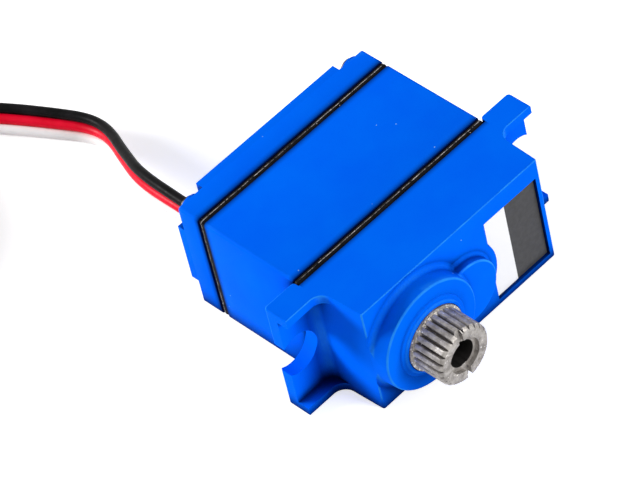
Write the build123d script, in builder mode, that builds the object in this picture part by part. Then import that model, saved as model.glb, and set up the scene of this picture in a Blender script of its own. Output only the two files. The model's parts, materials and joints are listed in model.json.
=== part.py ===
from build123d import *
import math
import os

os.makedirs("parts", exist_ok=True)

# Sub-micro servo lying on its side. X runs along the case, Z across it, and the output
# shaft points along -Y. A "height" is measured from the bottom cover's face towards the
# output, so height h lies at y = half_height - h. Millimetres throughout.

# case
length = 22.5
width = 12.0
wall = 1.0
corner_radius = 0.3
case_edge = 0.12           # rounding of the top case's long edges
top_corner = 0.22          # rounding where its ends meet its top face
bottom_depth = 3.1
bottom_floor = 1.2
seal_thickness = 0.8
seal_round = 0.3
middle_depth = 10.55
middle_plate = 1.1
top_depth = 6.55
ceiling = 1.0
end_step = 0.41            # top case's ends inside the middle case's, above the ears
end_lean = 0.26            # how far each end leans in by the top face
chamber_wall = 0.74

# ears
ear_reach = 3.55           # past the end of the case
ear_drop = 0.63            # how far an ear hangs below the top case's rim
ear_plate_rise = 0.75      # plate top above the rim
ear_rib_rise = 1.95
ear_rib_width = 0.9
ear_gap = 0.05
ear_plate_blend = 1.0
ear_rib_blend = 1.2
ear_plate_corner = 0.18    # roundings at the ear's tip, on the plate and on the rib
ear_rib_corner = 0.38
ear_foot_corner = 0.34     # along the ear's underside
ear_hole_radius = 2.1
ear_hole_inset = 1.3       # from the ear's tip to the hole's centre

# corner screws
screw_end_inset = 1.5
screw_side_inset = 1.35
screw_radius = 0.55
screw_head_radius = 0.9
screw_head_height = 0.7
screw_length = 18.2
screw_clearance = 0.04
screw_cross = (1.1, 0.26, 0.35)
post_radius = 1.4
pocket_radius = 1.42
pocket_depth = 0.8
screw_ring = (0.26, 0.38)    # wall and height of the ring moulded round each screw head

# output boss, idler lobe and label recess on the top face
output_inset = 5.83        # from the case's end to the output axis
boss_height = 1.9
boss_base_radius = 5.35
boss_top_radius = 5.22
boss_edge = 0.25
boss_flare = 0.05          # flat ring left outside the boss's blend
boss_blend = 0.55
boss_overhang = 0.1        # how far the boss stands past the end of the case
collar_steps = ((3.82, 0), (3.72, 0.14), (3.45, 0.2), (3.35, 0.34))    # radius, height on the boss
collar_height = 0.4
collar_gap = 0.07          # from the journal to the collar's bore
collar_depth = 0.3         # how far the collar's bore goes down into the boss
lobe_height = 1.05
lobe_radius = 3.2
lobe_edge = 0.25
lobe_blend = 0.35
lobe_mark = (1.8, 20, 62, 0.45, 0.2)
recess_length = 6.35
recess_margins = (0.53, 0.65, 1.9)    # to the plain end, the lower side and the upper side
recess_depth = 0.4
recess_notch = 4.25
label_gap = 0.06
label_thickness = 0.12
nub_radius = 0.23
nub_inset = 0.08
nub_offset = 1.2
nub_length = 0.5
nub_drop = 0.25

# output shaft and its bearings
shaft_reach = 3.75
journal_radius = 3.07
journal_proud = 0.52
hub_radius = 2.2
spline_teeth = 24
spline_root = 2.56
spline_tip = 2.86
spline_chamfer = 0.25
spline_runout = 0.4        # length over which the grooves run out at the shoulder
spline_foot_share = 0.94   # tooth width over its pitch, at the foot and at the crest
spline_crest_share = 0.56
horn_hole_radius = 1.3
horn_hole_depth = 5.5
horn_seat_step = 0.4       # seat's radius over the hole's
horn_seat_depth = 0.4
horn_slot_width = 0.52
horn_slot_depth = 0.45
horn_slot_turn = 92
bush_wall = 0.6
bush_length = 1.9
bush_flange = (0.5, 0.25)  # step out from the bush, and thickness
fit = 0.02
running = 0.03
ring_gap = 0.04
lower_bush_wall = 1.1
lower_bush_flange = (0.3, 0.15)
spacer_wall = 0.3

# gear train: the idler gears turn on a pin, the second gear on the potentiometer's shaft
module = 0.25
pressure_angle = 20
addendum = 0.95
dedendum = 1.25
backlash = 0.06
idler_offset = 0.6         # idler axis below the output axis
motor_pinion_teeth = 9
first_wheel_teeth = 32
first_pinion_teeth = 10
second_wheel_teeth = 34
second_pinion_teeth = 14
third_wheel_teeth = 30
third_pinion_teeth = 12
output_teeth = 32
thin_wheel = 1.0
output_gear_width = 1.8
layer_gap = 0.2
end_play = 0.05            # small gap between pieces stacked along an axis
gear_gap = 0.3             # from the gear plate to the lowest wheel
pin_radius = 0.6
third_hub_wall = 0.35      # hubs that carry the wheels, over the pin or the pivot
first_hub_wall = 0.25
second_hub_wall = 0.5
pin_rise = 1.2             # how far the pin enters the lobe
pivot_radius = 0.8

# motor
motor_radius = 4.8
motor_wall = 0.5
motor_front = 0.4
armature_room = 1.0        # from the front wall to the armature
press_fit = 0.01
motor_length = 8.3
motor_nose = (1.6, 0.7)
motor_cap_flange = 0.8
motor_cap_plug = 0.6
motor_shaft_radius = 0.5
magnet_thickness = 0.83
magnet_length = 6.0
magnet_gap = 3.2
armature_gap = 0.25
armature_length = 4.5
winding_overhang = 0.45
winding_radius = 0.85
winding_inset = 1.3        # from the armature's edge to the middle of a winding
winding_slot = 0.5
winding_gap = 0.08
commutator_wall = 0.5
commutator_length = 0.8
brush_size = (0.2, 0.9, 1.1)
brush_gap = 0.05
terminal_size = (0.4, 1.4)
terminal_spread = 3.2

# potentiometer
pot_radius = 4.5
pot_wall = 0.5
pot_height = 4.5
pot_base = 0.8
pot_neck = (1.5, 0.4)
track_inset = 0.4          # inside the cup's wall
track_width = 2.0
track_thickness = 0.3
wiper_hub_wall = 0.6
wiper_arm = (3.3, 0.9)
wiper_thickness = 0.8
wiper_lift = 0.5
pot_pin_size = (0.8, 0.3)
pot_pin_pitch = 2.5
pot_pin_inset = 2.8

# circuit board
board_lift = 0.6
board_thickness = 0.8
board_gap = 0.2
chip_size = (4.0, 4.0, 0.9)
chip_offset = (-0.26, 1.0)            # from the middle between the output and motor axes
small_part_size = (1.6, 0.8, 0.6)
small_part_offsets = ((-0.46, -3.0), (1.7, -3.6), (-3.76, 3.9), (0.74, 4.2))
end_part_inset = 0.9                  # from the cavity's plain end to one more part

# lead: three bonded wires standing on edge, then a coil and a three-way plug
wire_diameter = 0.95
ribbon_width = 3 * wire_diameter
lead_inset = 3.35          # from the case's end to the lead
lead_lift = 0.1
grommet_side = 0.5
grommet_lip = (0.35, 0.5)
coil_centre = (-30.6, 49.2)
coil_inner = 15.8
coil_outer = 18.0
coil_entry = 27.3          # degrees round the coil
tail_radius = 9.0
tail_turn = 90
grommet_corner = 0.8
grommet_lip_corner = 1.1
plug_size = (14.0, 7.9, 2.6)
contact_size = (6.5, 0.9)
contact_pitch = 2.54
contact_wall = 0.18

# heights of the stack, from the bottom cover's face
middle_base = bottom_depth + seal_thickness
gear_plate_top = middle_base + middle_depth
gear_plate_base = gear_plate_top - middle_plate
top_base = gear_plate_top + seal_thickness
top_face = top_base + top_depth
ceiling_height = top_face - ceiling
boss_face = top_face + boss_height
collar_top = boss_face + collar_height
lobe_face = top_face + lobe_height
shaft_end = boss_face + shaft_reach
half_height = shaft_end / 2
ear_base = top_base - ear_drop
ear_plate = top_base + ear_plate_rise
ear_rib = top_base + ear_rib_rise

board_base = bottom_floor + board_lift
board_top = board_base + board_thickness
motor_top = gear_plate_base - end_play
motor_base = motor_top - motor_length
pot_top = gear_plate_base - end_play - pot_neck[1]
pot_low = pot_top - pot_height

first_low = gear_plate_top + gear_gap
first_high = first_low + thin_wheel
second_low = first_high + layer_gap
second_high = second_low + thin_wheel
third_low = second_high + layer_gap
third_high = third_low + thin_wheel
output_low = third_high + 1.5 * layer_gap
output_high = output_low + output_gear_width
pivot_top = output_high + 3 * end_play

# the case's ends and the axes, from the centre distances
end_draft_low = length / 2 - end_step
end_draft_high = end_draft_low - end_lean
chamber_half = end_draft_low - chamber_wall
ear_tip = length / 2 + ear_reach
ear_hole_x = ear_tip - ear_hole_inset
lead_x = -length / 2 + lead_inset
lead_z = width / 2
output_x = -length / 2 + output_inset
output_z = width / 2
idler_z = output_z - idler_offset
motor_z = output_z
idler_distance = module * (output_teeth + third_pinion_teeth) / 2
motor_distance = module * (motor_pinion_teeth + first_wheel_teeth) / 2
idler_x = output_x + math.sqrt(idler_distance**2 - (output_z - idler_z) ** 2)
motor_x = idler_x + math.sqrt(motor_distance**2 - (motor_z - idler_z) ** 2)
output_place = (output_x, output_z)
idler_place = (idler_x, idler_z)
motor_place = (motor_x, motor_z)
recess_size = (recess_length, width - recess_margins[1] - recess_margins[2])
recess_centre = (
    end_draft_high - recess_margins[0] - recess_length / 2,
    recess_margins[1] + recess_size[1] / 2,
)
nub_place = (end_draft_high - nub_inset, width / 2 + nub_offset)
board_centre = ((output_x + motor_x) / 2, width / 2)
small_part_places = [(board_centre[0] + x, board_centre[1] + z) for x, z in small_part_offsets]
small_part_places.append((length / 2 - wall - end_part_inset, width / 2))

# radii that follow a shaft, pin or bore
bush_radius = journal_radius + bush_wall
ring_section = bush_wall / 2 - ring_gap
lower_bush_radius = pivot_radius + lower_bush_wall
third_hub_radius = pin_radius + third_hub_wall
first_hub_radius = pin_radius + first_hub_wall
second_hub_radius = pivot_radius + second_hub_wall
magnet_outer = motor_radius - motor_wall - fit
magnet_inner = magnet_outer - magnet_thickness
armature_radius = magnet_inner - armature_gap
winding_ring = armature_radius - winding_inset
commutator_radius = motor_shaft_radius + commutator_wall

screw_places = [
    (side * (length / 2 - screw_end_inset), width / 2 + row * (width / 2 - screw_side_inset))
    for side in (-1, 1)
    for row in (-1, 1)
]


def level(height):
    """Plane square to the output shaft; its local x and y are the model's X and Z."""
    return Plane(origin=(0, half_height - height, 0), x_dir=(1, 0, 0), z_dir=(0, -1, 0))


def side_plane(z):
    """Plane facing down at z; its local x is X and its local y is the height."""
    return Plane(origin=(0, half_height, z), x_dir=(1, 0, 0), z_dir=(0, 0, -1))


def section_plane(place):
    """Plane through an axis parallel to the shaft: local x is the radius, y the height."""
    return Plane(origin=(place[0], half_height, place[1]), x_dir=(1, 0, 0), z_dir=(0, 0, -1))


def shaft_axis(place):
    return Axis(origin=(place[0], half_height, place[1]), direction=(0, -1, 0))


def turned(place, steps, bores=()):
    """A turned piece: (low, high, radius) steps joined, then the bores taken out."""
    with BuildPart() as piece:
        for mode, stack in ((Mode.ADD, steps), (Mode.SUBTRACT, bores)):
            for low, high, radius in stack:
                with BuildSketch(level(low)):
                    with Locations(place):
                        Circle(radius)
                extrude(amount=high - low, mode=mode)
    return piece


def case_outline():
    with Locations((0, width / 2)):
        RectangleRounded(length, width, corner_radius)


def cavity_outline(half_length, gap=0.0):
    with Locations((0, width / 2)):
        Rectangle(2 * (half_length - gap), width - 2 * (wall + gap))
    with Locations(*screw_places):
        Circle(post_radius + gap, mode=Mode.SUBTRACT)


def corner_pockets():
    for x, z in screw_places:
        side = math.copysign(1, x)
        row = math.copysign(1, z - width / 2)
        with Locations((x, z)):
            Circle(pocket_radius)
        inner_x = x - side * pocket_radius
        inner_z = z - row * pocket_radius
        outer_x = x + side * screw_end_inset
        outer_z = z + row * screw_side_inset
        with Locations(((x + outer_x) / 2, (inner_z + outer_z) / 2)):
            Rectangle(screw_end_inset, screw_side_inset + pocket_radius)
        with Locations(((inner_x + outer_x) / 2, (z + outer_z) / 2)):
            Rectangle(screw_end_inset + pocket_radius, screw_side_inset)


def tooth_points(teeth):
    """Corners of one involute tooth that points along local +x."""
    pitch = module * teeth / 2
    base = pitch * math.cos(math.radians(pressure_angle))
    root = pitch - dedendum * module
    tip = pitch + addendum * module
    roll = math.tan(math.radians(pressure_angle)) - math.radians(pressure_angle)
    half = (math.pi * module / 2 - backlash) / (2 * pitch) + roll

    def flank(radius):
        if radius <= base:
            return half
        angle = math.acos(base / radius)
        return half - math.tan(angle) + angle

    radii = [root - 0.03, max(root + 0.02, base), pitch, (pitch + tip) / 2, tip]
    lower = [(r * math.cos(flank(r)), -r * math.sin(flank(r))) for r in radii]
    upper = [(x, -y) for x, y in reversed(lower)]
    return lower + upper


def toothed_outline(teeth, phase):
    Circle(module * teeth / 2 - dedendum * module)
    with PolarLocations(0, teeth, start_angle=phase):
        Polygon(*tooth_points(teeth), align=None)


def heading(start, end):
    """Direction from one axis to another, degrees in the (X, Z) plane."""
    return math.degrees(math.atan2(end[1] - start[1], end[0] - start[0]))


def gap_phase(teeth, start, end):
    """Phase that puts a gap, not a tooth, on the line from start to end."""
    return heading(start, end) + 180 / teeth


def wheel(teeth, place, phase, low, high, bore):
    with BuildPart() as piece:
        with BuildSketch(level(low)):
            with Locations(place):
                toothed_outline(teeth, phase)
                Circle(bore, mode=Mode.SUBTRACT)
        extrude(amount=high - low)
    return piece


def pinion(teeth, place, phase, low, high, bore, hub_radius, hub_low):
    with BuildPart() as piece:
        with BuildSketch(level(low)):
            with Locations(place):
                toothed_outline(teeth, phase)
        extrude(amount=high - low)
        with BuildSketch(level(hub_low)):
            with Locations(place):
                Circle(hub_radius)
        extrude(amount=low - hub_low)
        with BuildSketch(level(hub_low)):
            with Locations(place):
                Circle(bore)
        extrude(amount=high - hub_low, mode=Mode.SUBTRACT)
    return piece


# ---------------------------------------------------------------- case shells

with BuildPart() as bottom_cover:
    with BuildSketch(level(0)):
        case_outline()
    extrude(amount=bottom_depth)
    with BuildSketch(level(bottom_floor)):
        cavity_outline(length / 2 - wall)
    extrude(amount=bottom_depth - bottom_floor, mode=Mode.SUBTRACT)
    with BuildSketch(level(0)):
        corner_pockets()
    extrude(amount=pocket_depth, mode=Mode.SUBTRACT)
    with BuildSketch(level(pocket_depth - screw_ring[1])):
        with Locations(*screw_places):
            Circle(screw_head_radius + screw_clearance + screw_ring[0])
            Circle(screw_head_radius + screw_clearance, mode=Mode.SUBTRACT)
    extrude(amount=screw_ring[1])
    with BuildSketch(level(0)):
        with Locations(*screw_places):
            Circle(screw_radius + screw_clearance)
        with Locations((lead_x, lead_z)):
            RectangleRounded(
                wire_diameter + 2 * grommet_side, ribbon_width + 2 * grommet_side, grommet_corner
            )
    extrude(amount=bottom_depth, mode=Mode.SUBTRACT)
bottom_cover.part.label = "bottom_cover"
export_step(bottom_cover.part, "parts/bottom_cover.step")


def case_seal(base):
    """Rubber frame between two shells, its outer edges rounded to a bulge."""
    with BuildPart() as seal:
        with BuildSketch(level(base)):
            case_outline()
        extrude(amount=seal_thickness)
        fillet(seal.faces().filter_by(Axis.Y).edges(), seal_round)
        with BuildSketch(level(base)):
            cavity_outline(length / 2 - wall)
            with Locations(*screw_places):
                Circle(screw_radius + screw_clearance)
        extrude(amount=seal_thickness, mode=Mode.SUBTRACT)
    return seal


lower_seal = case_seal(bottom_depth)
lower_seal.part.label = "lower_seal"
export_step(lower_seal.part, "parts/lower_seal.step")

with BuildPart() as middle_case:
    with BuildSketch(level(middle_base)):
        case_outline()
    extrude(amount=middle_depth)
    with BuildSketch(level(middle_base)):
        cavity_outline(length / 2 - wall)
    extrude(amount=middle_depth - middle_plate, mode=Mode.SUBTRACT)
    with BuildSketch(level(gear_plate_top)):
        with Locations(idler_place):
            Circle(2 * pin_radius)
    extrude(amount=gear_gap - 2 * end_play)
    with BuildSketch(level(middle_base)):
        with Locations(*screw_places):
            Circle(screw_radius + screw_clearance)
        with Locations(motor_place):
            Circle(motor_nose[0] + fit)
        with Locations(output_place):
            Circle(lower_bush_radius + fit)
        with Locations(idler_place):
            Circle(pin_radius + fit)
    extrude(amount=middle_depth + gear_gap, mode=Mode.SUBTRACT)
middle_case.part.label = "middle_case"
export_step(middle_case.part, "parts/middle_case.step")

upper_seal = case_seal(gear_plate_top)
upper_seal.part.label = "upper_seal"
export_step(upper_seal.part, "parts/upper_seal.step")

# raised lobe over the idler pin, run into the output boss
with BuildPart() as lobe:
    with BuildSketch(level(top_face - ceiling / 2)):
        with Locations(idler_place):
            Circle(lobe_radius)
        with Locations(((output_x + idler_x) / 2, idler_z)):
            Rectangle(idler_x - output_x, 2 * lobe_radius)
    extrude(amount=lobe_height + ceiling / 2)
    fillet(lobe.faces().sort_by(Axis.Y)[0].edges(), lobe_edge)

# output boss with its stepped collar, turned about the shaft
with BuildPart() as boss:
    with BuildSketch(section_plane(output_place)) as boss_section:
        with BuildLine():
            Polyline(
                (0, top_face - ceiling / 2),
                (boss_base_radius + boss_blend + boss_flare, top_face - ceiling / 2),
                (boss_base_radius + boss_blend + boss_flare, top_face),
                (boss_base_radius, top_face),
                (boss_top_radius, boss_face),
                (0, boss_face),
                close=True,
            )
        make_face()
        boss_foot = [v for v in boss_section.vertices() if abs(v.X - boss_base_radius) < 0.001]
        fillet(boss_foot, boss_blend)
        boss_rim = [v for v in boss_section.vertices() if abs(v.X - boss_top_radius) < 0.001]
        fillet(boss_rim, boss_edge)
    revolve(axis=shaft_axis(output_place))
    with BuildSketch(section_plane(output_place)):
        with BuildLine():
            Polyline(
                (0, boss_face),
                *[(radius, boss_face + height) for radius, height in collar_steps],
                (journal_radius + collar_gap, collar_top),
                (0, collar_top),
                close=True,
            )
        make_face()
    revolve(axis=shaft_axis(output_place))
    # its outer side flat, a little past the end of the case above the top face and flush below
    for low, high, overhang in (
        (top_face, boss_face, boss_overhang),
        (top_face - ceiling / 2, top_face, 0),
    ):
        with BuildSketch(level(low)):
            with Locations((-end_draft_high - overhang, width / 2)):
                Rectangle(boss_base_radius, width, align=(Align.MAX, Align.CENTER))
        extrude(amount=high - low, mode=Mode.SUBTRACT)


def end_at(height):
    """Half length of the top case at a height, on its leaning end."""
    return end_draft_low - end_lean * (height - ear_plate) / (top_face - ear_plate)


with BuildPart() as top_case:
    # end profile with its ears: the plate right across, then a rib along each side
    for shelf, blend, corner, high, low in (
        (ear_plate, ear_plate_blend, ear_plate_corner, width, 0),
        (ear_rib, ear_rib_blend, ear_rib_corner, width, width - ear_rib_width),
        (ear_rib, ear_rib_blend, ear_rib_corner, ear_rib_width, 0),
    ):
        with BuildSketch(side_plane(high)) as profile:
            with BuildLine():
                outline = [
                    (length / 2 + ear_gap, top_base),
                    (length / 2 + ear_gap, ear_base),
                    (ear_tip, ear_base),
                    (ear_tip, shelf),
                    (end_at(shelf), shelf),
                    (end_at(top_face), top_face),
                ]
                Polyline(*outline, *[(-x, y) for x, y in reversed(outline)], close=True)
            make_face()
            on_shelf = [v for v in profile.vertices() if abs(v.Y - shelf) < 0.001]
            fillet([v for v in on_shelf if abs(v.X) < length / 2], blend)
            fillet([v for v in on_shelf if abs(v.X) > length / 2], corner)
            fillet([v for v in profile.vertices() if abs(v.Y - ear_base) < 0.001], ear_foot_corner)
        extrude(amount=high - low)
    # its corners and long edges, eased
    fillet(top_case.faces().filter_by(Axis.Y).sort_by(Axis.Y)[0].edges().filter_by(Axis.Z), top_corner)
    broad_sides = [
        edge for z in (0, width) for edge in top_case.edges().filter_by_position(Axis.Z, z, z)
    ]
    fillet(broad_sides, case_edge)
    add(boss.part)
    add(lobe.part)
    lobe_foot = [
        edge
        for edge in top_case.edges()
        if abs(edge.center().Y - half_height + top_face) < 0.001
        and math.dist((edge.center().X, edge.center().Z), idler_place) < lobe_radius + 0.5
    ]
    fillet(lobe_foot, lobe_blend)
    # label recess, cut round the lobe
    with BuildSketch(level(top_face)):
        with Locations(recess_centre):
            Rectangle(*recess_size)
        with Locations(idler_place):
            Circle(recess_notch, mode=Mode.SUBTRACT)
    extrude(amount=-recess_depth, mode=Mode.SUBTRACT)
    # crescent mark on the lobe
    with BuildSketch(level(lobe_face)):
        mark = CenterArc(idler_place, lobe_mark[0], lobe_mark[1], lobe_mark[2], mode=Mode.PRIVATE)
        SlotArc(mark, lobe_mark[3])
    extrude(amount=-lobe_mark[4], mode=Mode.SUBTRACT)
    # moulding nub on the plain end
    with BuildSketch(level(top_face - nub_drop - nub_length)):
        with Locations(nub_place):
            Circle(nub_radius)
    extrude(amount=nub_length)
    # gear chamber and its bores
    with BuildSketch(level(top_base)):
        cavity_outline(chamber_half)
    extrude(amount=ceiling_height - top_base, mode=Mode.SUBTRACT)
    with BuildSketch(level(top_base)):
        with Locations(*screw_places):
            Circle(screw_radius + fit)
    extrude(amount=pocket_depth + screw_length - top_base + layer_gap, mode=Mode.SUBTRACT)
    with BuildSketch(level(ceiling_height)):
        with Locations(output_place):
            Circle(bush_radius)
    extrude(amount=boss_face - collar_depth - ceiling_height, mode=Mode.SUBTRACT)
    with BuildSketch(level(boss_face - collar_depth)):
        with Locations(output_place):
            Circle(journal_radius + collar_gap)
    extrude(amount=collar_top - boss_face + collar_depth, mode=Mode.SUBTRACT)
    with BuildSketch(level(ceiling_height)):
        with Locations(idler_place):
            Circle(pin_radius + fit)
    extrude(amount=pin_rise + end_play, mode=Mode.SUBTRACT)
    for x in (-ear_hole_x, ear_hole_x):
        with BuildSketch(level(ear_base)):
            with Locations((x, width / 2)):
                Circle(ear_hole_radius)
        extrude(amount=ear_rib - ear_base, mode=Mode.SUBTRACT)
top_case.part.label = "top_case"
export_step(top_case.part, "parts/top_case.step")

with BuildPart() as label:
    with BuildSketch(level(top_face - recess_depth)):
        with Locations(recess_centre):
            Rectangle(recess_size[0] - 2 * label_gap, recess_size[1] - 2 * label_gap)
        with Locations(idler_place):
            Circle(recess_notch + label_gap, mode=Mode.SUBTRACT)
    extrude(amount=label_thickness)
label.part.label = "label"
export_step(label.part, "parts/label.step")

with BuildPart() as case_screws:
    with BuildSketch(level(pocket_depth - screw_head_height)):
        with Locations(*screw_places):
            Circle(screw_head_radius)
    extrude(amount=screw_head_height)
    with BuildSketch(level(pocket_depth)):
        with Locations(*screw_places):
            Circle(screw_radius)
    extrude(amount=screw_length)
    with BuildSketch(level(pocket_depth - screw_head_height)):
        with Locations(*screw_places):
            Rectangle(screw_cross[0], screw_cross[1])
            Rectangle(screw_cross[1], screw_cross[0])
    extrude(amount=screw_cross[2], mode=Mode.SUBTRACT)
case_screws.part.label = "case_screws"
export_step(case_screws.part, "parts/case_screws.step")

# ---------------------------------------------------------------- bearings and pins

output_bush = turned(
    output_place,
    [
        (ceiling_height - bush_flange[1], ceiling_height, bush_radius + bush_flange[0]),
        (ceiling_height, ceiling_height + bush_length, bush_radius - fit),
    ],
    [(ceiling_height - bush_flange[1], ceiling_height + bush_length, journal_radius + running)],
)
output_bush.part.label = "output_bush"
export_step(output_bush.part, "parts/output_bush.step")

with BuildPart() as shaft_seal_ring:
    ring_height = ceiling_height + bush_length + ring_section + fit
    with BuildSketch(section_plane(output_place)):
        with Locations(((journal_radius + bush_radius) / 2, ring_height)):
            Circle(ring_section)
    revolve(axis=shaft_axis(output_place))
shaft_seal_ring.part.label = "shaft_seal_ring"
export_step(shaft_seal_ring.part, "parts/shaft_seal_ring.step")

spacer_low = gear_plate_top + lower_bush_flange[1] + fit
lower_bush = turned(
    output_place,
    [
        (gear_plate_base, gear_plate_top, lower_bush_radius),
        (gear_plate_top, spacer_low - fit, lower_bush_radius + lower_bush_flange[0]),
    ],
    [(gear_plate_base, spacer_low - fit, pivot_radius + running)],
)
lower_bush.part.label = "lower_bush"
export_step(lower_bush.part, "parts/lower_bush.step")

shaft_spacer = turned(
    output_place,
    [(spacer_low, second_low - end_play, pivot_radius + spacer_wall)],
    [(spacer_low, second_low - end_play, pivot_radius + fit)],
)
shaft_spacer.part.label = "shaft_spacer"
export_step(shaft_spacer.part, "parts/shaft_spacer.step")

idler_pin = turned(
    idler_place, [(gear_plate_base + end_play, ceiling_height + pin_rise, pin_radius)]
)
idler_pin.part.label = "idler_pin"
export_step(idler_pin.part, "parts/idler_pin.step")

# ---------------------------------------------------------------- output shaft

shaft_low = output_low - end_play
journal_low = output_high + 2 * end_play
spline_low = boss_face + journal_proud
with BuildPart() as output_shaft:
    for low, high, radius in (
        (shaft_low, journal_low, hub_radius),
        (journal_low, spline_low, journal_radius),
    ):
        with BuildSketch(level(low)):
            with Locations(output_place):
                Circle(radius)
        extrude(amount=high - low)
    # splined end, its corners turned to a chamfer
    with BuildSketch(level(spline_low)):
        with Locations(output_place):
            Circle(spline_root)
            with PolarLocations(0, spline_teeth):
                half_foot = math.pi * spline_root / spline_teeth * spline_foot_share
                half_crest = math.pi * spline_tip / spline_teeth * spline_crest_share
                Polygon(
                    (spline_root - 0.05, -half_foot),
                    (spline_tip, -half_crest),
                    (spline_tip, half_crest),
                    (spline_root - 0.05, half_foot),
                    align=None,
                )
    extrude(amount=shaft_end - spline_low)
    with BuildSketch(section_plane(output_place)):
        with BuildLine():
            Polyline(
                (hub_radius, spline_low),
                (spline_tip, spline_low),
                (spline_root, spline_low + spline_runout),
                (hub_radius, spline_low + spline_runout),
                close=True,
            )
        make_face()
    revolve(axis=shaft_axis(output_place))
    with BuildSketch(section_plane(output_place)):
        with BuildLine():
            Polyline(
                (spline_tip - spline_chamfer, shaft_end),
                (spline_tip + spline_chamfer, shaft_end),
                (spline_tip + spline_chamfer, shaft_end - 2 * spline_chamfer),
                close=True,
            )
        make_face()
    revolve(axis=shaft_axis(output_place), mode=Mode.SUBTRACT)
    # horn screw hole, its seat and the driver slot
    for depth, radius in (
        (horn_hole_depth, horn_hole_radius),
        (horn_seat_depth, horn_hole_radius + horn_seat_step),
    ):
        with BuildSketch(level(shaft_end)):
            with Locations(output_place):
                Circle(radius)
        extrude(amount=-depth, mode=Mode.SUBTRACT)
    with BuildSketch(level(shaft_end)):
        with Locations(Location((output_x, output_z, 0), (0, 0, horn_slot_turn))):
            Rectangle(3 * spline_tip, horn_slot_width)
    extrude(amount=-horn_slot_depth, mode=Mode.SUBTRACT)
    # socket for the potentiometer's shaft
    with BuildSketch(level(shaft_low)):
        with Locations(output_place):
            Circle(pivot_radius + fit)
    extrude(amount=pivot_top + end_play - shaft_low, mode=Mode.SUBTRACT)
output_shaft.part.label = "output_shaft"
export_step(output_shaft.part, "parts/output_shaft.step")

# ---------------------------------------------------------------- gear train

output_gear = wheel(
    output_teeth, output_place, gap_phase(output_teeth, output_place, idler_place),
    output_low, output_high, hub_radius + fit,
)
output_gear.part.label = "output_gear"
export_step(output_gear.part, "parts/output_gear.step")

third_pinion = pinion(
    third_pinion_teeth, idler_place, heading(idler_place, output_place),
    third_high, output_high, pin_radius + running, third_hub_radius, third_low - end_play,
)
third_pinion.part.label = "third_pinion"
export_step(third_pinion.part, "parts/third_pinion.step")

third_wheel = wheel(
    third_wheel_teeth, idler_place, gap_phase(third_wheel_teeth, idler_place, output_place),
    third_low, third_high, third_hub_radius + fit,
)
third_wheel.part.label = "third_wheel"
export_step(third_wheel.part, "parts/third_wheel.step")

second_pinion = pinion(
    second_pinion_teeth, output_place, heading(output_place, idler_place),
    second_high, third_high, pivot_radius + running, second_hub_radius, second_low,
)
second_pinion.part.label = "second_pinion"
export_step(second_pinion.part, "parts/second_pinion.step")

second_wheel = wheel(
    second_wheel_teeth, output_place, gap_phase(second_wheel_teeth, output_place, idler_place),
    second_low, second_high, second_hub_radius + fit,
)
second_wheel.part.label = "second_wheel"
export_step(second_wheel.part, "parts/second_wheel.step")

first_pinion = pinion(
    first_pinion_teeth, idler_place, heading(idler_place, output_place),
    first_high, second_high, pin_radius + running, first_hub_radius, first_low - end_play,
)
first_pinion.part.label = "first_pinion"
export_step(first_pinion.part, "parts/first_pinion.step")

first_wheel = wheel(
    first_wheel_teeth, idler_place, gap_phase(first_wheel_teeth, idler_place, motor_place),
    first_low, first_high, first_hub_radius + fit,
)
first_wheel.part.label = "first_wheel"
export_step(first_wheel.part, "parts/first_wheel.step")

motor_pinion = wheel(
    motor_pinion_teeth, motor_place, heading(motor_place, idler_place),
    first_low - end_play, first_high + end_play, motor_shaft_radius + press_fit,
)
motor_pinion.part.label = "motor_pinion"
export_step(motor_pinion.part, "parts/motor_pinion.step")

# ---------------------------------------------------------------- motor

motor_can = turned(
    motor_place,
    [
        (motor_base, motor_top, motor_radius),
        (motor_top, motor_top + motor_nose[1], motor_nose[0]),
    ],
    [
        (motor_base, motor_top - motor_front, motor_radius - motor_wall),
        (motor_base, motor_top + motor_nose[1], motor_shaft_radius + running),
    ],
)
motor_can.part.label = "motor_can"
export_step(motor_can.part, "parts/motor_can.step")

motor_end_cap = turned(
    motor_place,
    [
        (motor_base - motor_cap_flange, motor_base, motor_radius),
        (motor_base, motor_base + motor_cap_plug, motor_radius - motor_wall - fit),
    ],
    [(motor_base - motor_cap_flange, motor_base + motor_cap_plug, motor_shaft_radius + running)],
)
motor_end_cap.part.label = "motor_end_cap"
export_step(motor_end_cap.part, "parts/motor_end_cap.step")

core_low = motor_top - motor_front - armature_room - armature_length
with BuildPart() as motor_magnets:
    with BuildSketch(level(core_low + (armature_length - magnet_length) / 2)):
        with Locations(motor_place):
            Circle(magnet_outer)
            Circle(magnet_inner, mode=Mode.SUBTRACT)
            Rectangle(3 * motor_radius, magnet_gap, mode=Mode.SUBTRACT)
    extrude(amount=magnet_length)
motor_magnets.part.label = "motor_magnets"
export_step(motor_magnets.part, "parts/motor_magnets.step")

motor_shaft = turned(
    motor_place, [(motor_base - motor_cap_flange / 2, first_high + 3 * end_play, motor_shaft_radius)]
)
motor_shaft.part.label = "motor_shaft"
export_step(motor_shaft.part, "parts/motor_shaft.step")

with BuildPart() as armature_core:
    with BuildSketch(level(core_low)):
        with Locations(motor_place):
            Circle(armature_radius)
            Circle(motor_shaft_radius + press_fit, mode=Mode.SUBTRACT)
            with PolarLocations(winding_ring, 3, start_angle=60):
                Circle(winding_radius + winding_gap, mode=Mode.SUBTRACT)
            with PolarLocations(armature_radius, 3, start_angle=60):
                Rectangle(2 * (armature_radius - winding_ring), winding_slot, mode=Mode.SUBTRACT)
    extrude(amount=armature_length)
armature_core.part.label = "armature_core"
export_step(armature_core.part, "parts/armature_core.step")

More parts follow.
